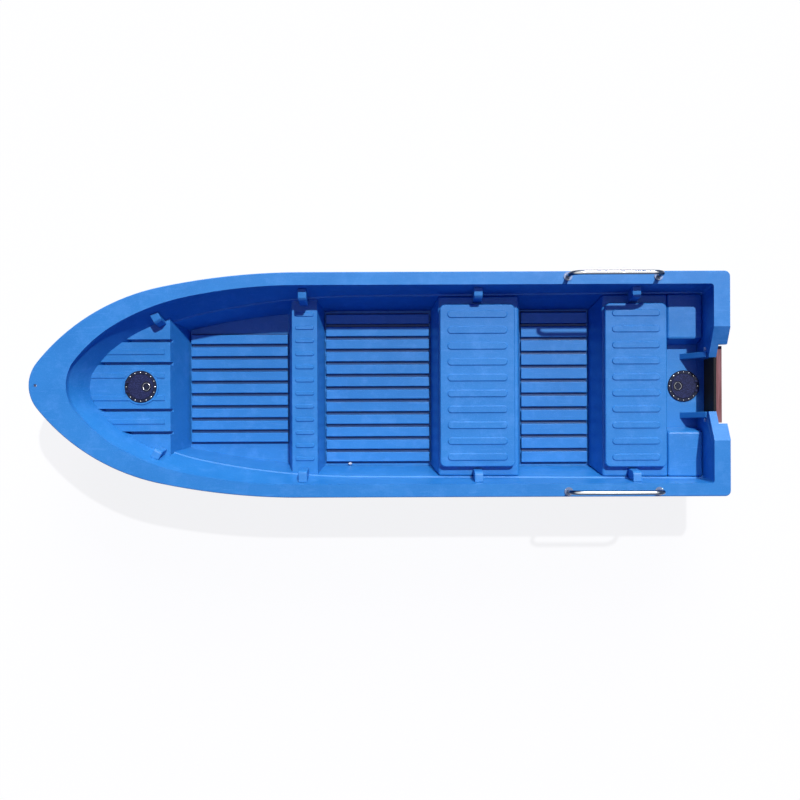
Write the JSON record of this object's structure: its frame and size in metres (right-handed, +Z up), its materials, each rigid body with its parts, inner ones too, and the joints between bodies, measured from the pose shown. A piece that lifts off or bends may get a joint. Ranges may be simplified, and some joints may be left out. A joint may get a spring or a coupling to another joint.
{
  "type": "open fishing boat",
  "caption": "Open rotomoulded fishing boat with a flat rim, thwart, seat boards, slatted floor, bow deck, hinged round hatches, grab rails and a notched transom for a small motor.",
  "frame": {"origin": "under the middle of the boat's outer box, on the ground that its three runners stand on", "axes": "+X to the bow, +Y to port, +Z up"},
  "size_m": [4, 1.29, 0.6525],
  "materials": {
    "blue_polyethylene": "moulded, softly glossy, fine pebble",
    "black_plastic": "moulded, satin",
    "black_pad": "matt",
    "wood_board": "oiled, red-brown, straight grain",
    "stainless_tube": "polished",
    "white_plastic": "satin"
  },
  "bodies": {
    "hull": {"hull_bottom": "blue_polyethylene", "topside_port": "blue_polyethylene", "topside_starboard": "blue_polyethylene", "transom": "blue_polyethylene", "gunwale_rim": "blue_polyethylene", "bow_deck": "blue_polyethylene", "floor_fore": "blue_polyethylene", "floor_mid": "blue_polyethylene", "floor_aft": "blue_polyethylene", "fore_thwart": "blue_polyethylene", "mid_seat_box": "blue_polyethylene", "mid_seat_board": "blue_polyethylene", "aft_seat_box": "blue_polyethylene", "aft_seat_board": "blue_polyethylene", "stern_box_port": "blue_polyethylene", "stern_box_starboard": "blue_polyethylene", "stern_well_floor": "blue_polyethylene", "motor_knee_port": "blue_polyethylene", "motor_knee_starboard": "blue_polyethylene", "seat_lugs_port": "blue_polyethylene", "seat_lugs_starboard": "blue_polyethylene", "bow_hatch_ring": "black_plastic", "stern_hatch_ring": "black_plastic", "motor_pad_inner": "black_pad", "motor_board_outer": "wood_board", "grab_rail_port": "stainless_tube", "grab_rail_starboard": "stainless_tube", "drain_plug": "white_plastic", "transom_bolts": "white_plastic"},
    "bow_lid": {"bow_hatch_lid": "black_plastic", "bow_hatch_latch": "black_plastic"},
    "stern_lid": {"stern_hatch_lid": "black_plastic", "stern_hatch_latch": "black_plastic"}
  },
  "joints": [
    {"name": "bow_hatch_hinge", "type": "hinge", "parent": "hull", "child": "bow_lid", "pos_m": [1.494, 0, 0.364], "axis": [0, 1, 0], "range_deg": [0, 105]},
    {"name": "stern_hatch_hinge", "type": "hinge", "parent": "hull", "child": "stern_lid", "pos_m": [-1.896, 0, 0.219], "axis": [0, -1, 0], "range_deg": [0, 95]}
  ]
}
